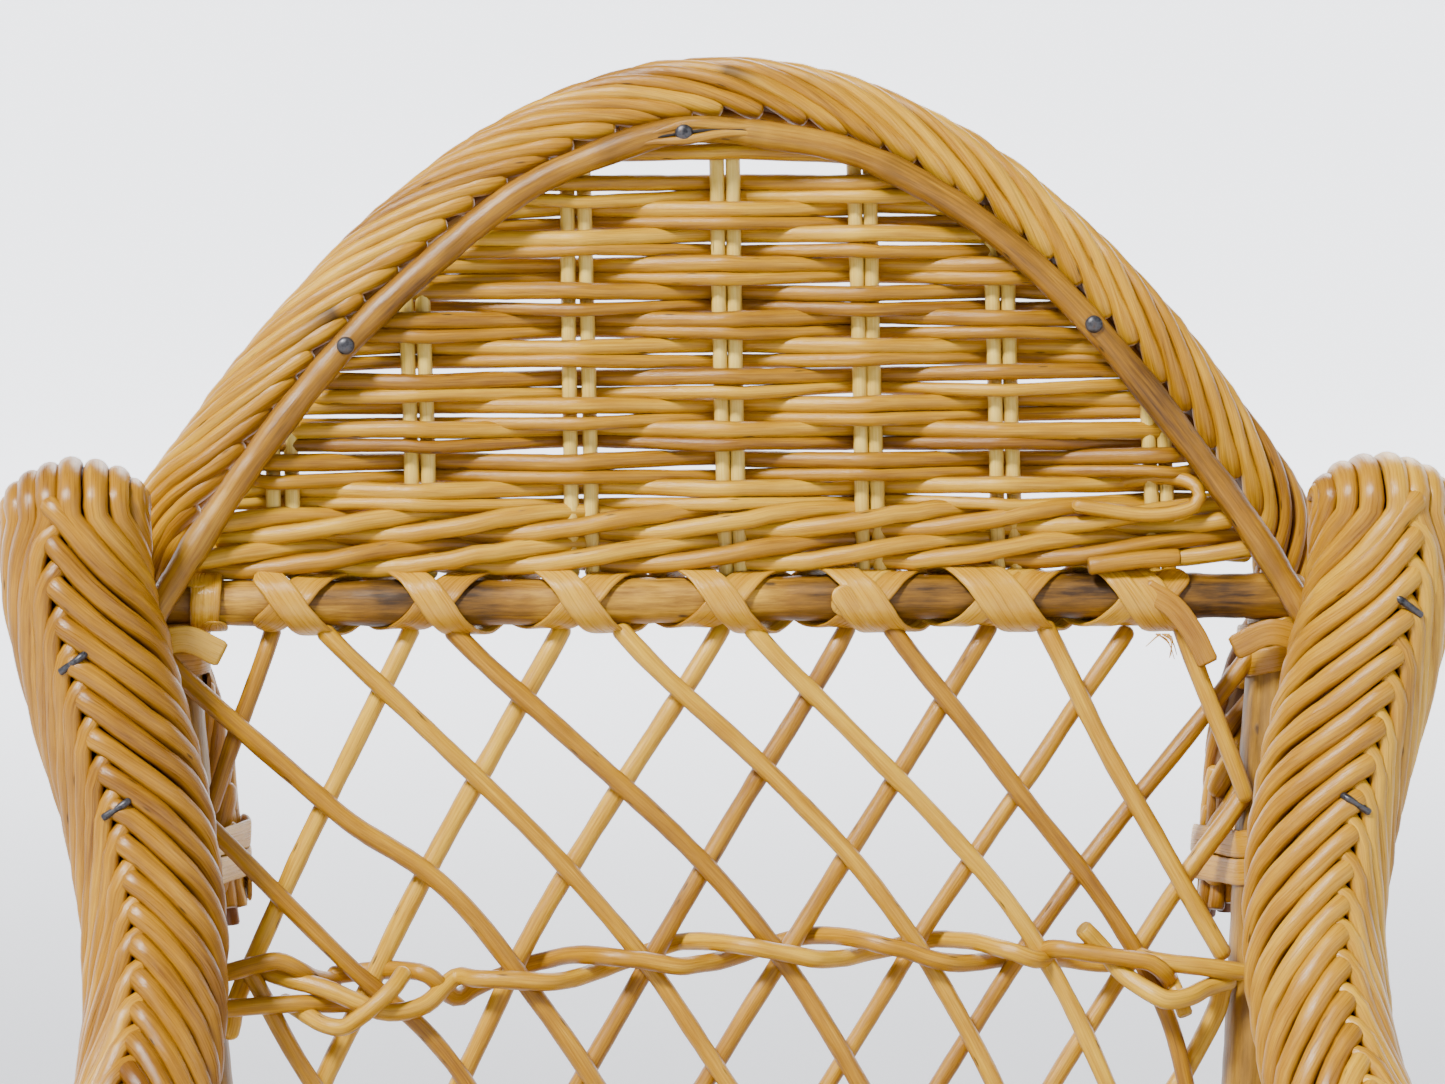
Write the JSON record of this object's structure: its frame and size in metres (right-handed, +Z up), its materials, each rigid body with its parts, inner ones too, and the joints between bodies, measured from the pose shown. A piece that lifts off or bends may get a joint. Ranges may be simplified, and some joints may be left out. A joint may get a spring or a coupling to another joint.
{
  "type": "miniature rocking chair",
  "caption": "Miniature woven willow rocking chair with a round-topped back, diagonal lattice, rolled braided arms, woven seat and curved rockers.",
  "frame": {"origin": "middle of the chair's footprint on the floor, under the rockers' lowest line", "axes": "+Z up; the chair faces -Y; +X towards the side that is on the right when the chair is seen from the front"},
  "size_m": [0.2488, 0.316, 0.4016],
  "materials": {
    "willow": "satin buff willow rods",
    "pale_willow": "satin pale willow stakes",
    "split_cane": "satin flat split cane",
    "bark_wood": "patchy brown bark, satin",
    "frame_wood": "brown peeled stick, satin",
    "steel_nails": "dull dark steel"
  },
  "bodies": {
    "root": {"rocker_left": "frame_wood", "rocker_right": "frame_wood", "rocker_rail_front": "frame_wood", "rocker_rail_back": "frame_wood", "front_leg_left": "frame_wood", "front_leg_right": "frame_wood", "rear_leg_left": "frame_wood", "rear_leg_right": "frame_wood", "stretcher_front": "frame_wood", "stretcher_back": "frame_wood", "stretcher_left": "frame_wood", "stretcher_right": "frame_wood", "knee_braces_front": "willow", "knee_braces_rear": "willow", "leg_bindings": "split_cane", "seat_rail_front": "frame_wood", "seat_rail_back": "frame_wood", "seat_rail_left": "frame_wood", "seat_rail_right": "frame_wood", "seat_stakes": "pale_willow", "seat_weft": "willow", "seat_border": "willow", "back_post_left": "frame_wood", "back_post_right": "frame_wood", "crossbar": "bark_wood", "lashing_rising": "split_cane", "lashing_falling": "split_cane", "back_hoop": "willow", "rope_border": "willow", "tail_tie_left": "split_cane", "tail_tie_right": "split_cane", "crown_stakes": "pale_willow", "crown_weft": "willow", "wale_upper": "willow", "wale_lower": "willow", "lattice_front": "willow", "lattice_rear": "willow", "twined_row": "willow", "shoulder_tie_left": "split_cane", "shoulder_tie_right": "split_cane", "arm_core_left": "willow", "arm_core_right": "willow", "arm_braid_left": "willow", "arm_braid_right": "willow", "side_lattice_left": "willow", "side_lattice_right": "willow", "hoop_nails": "steel_nails", "arm_nails": "steel_nails", "rocker_nails": "steel_nails"}
  },
  "joints": []
}
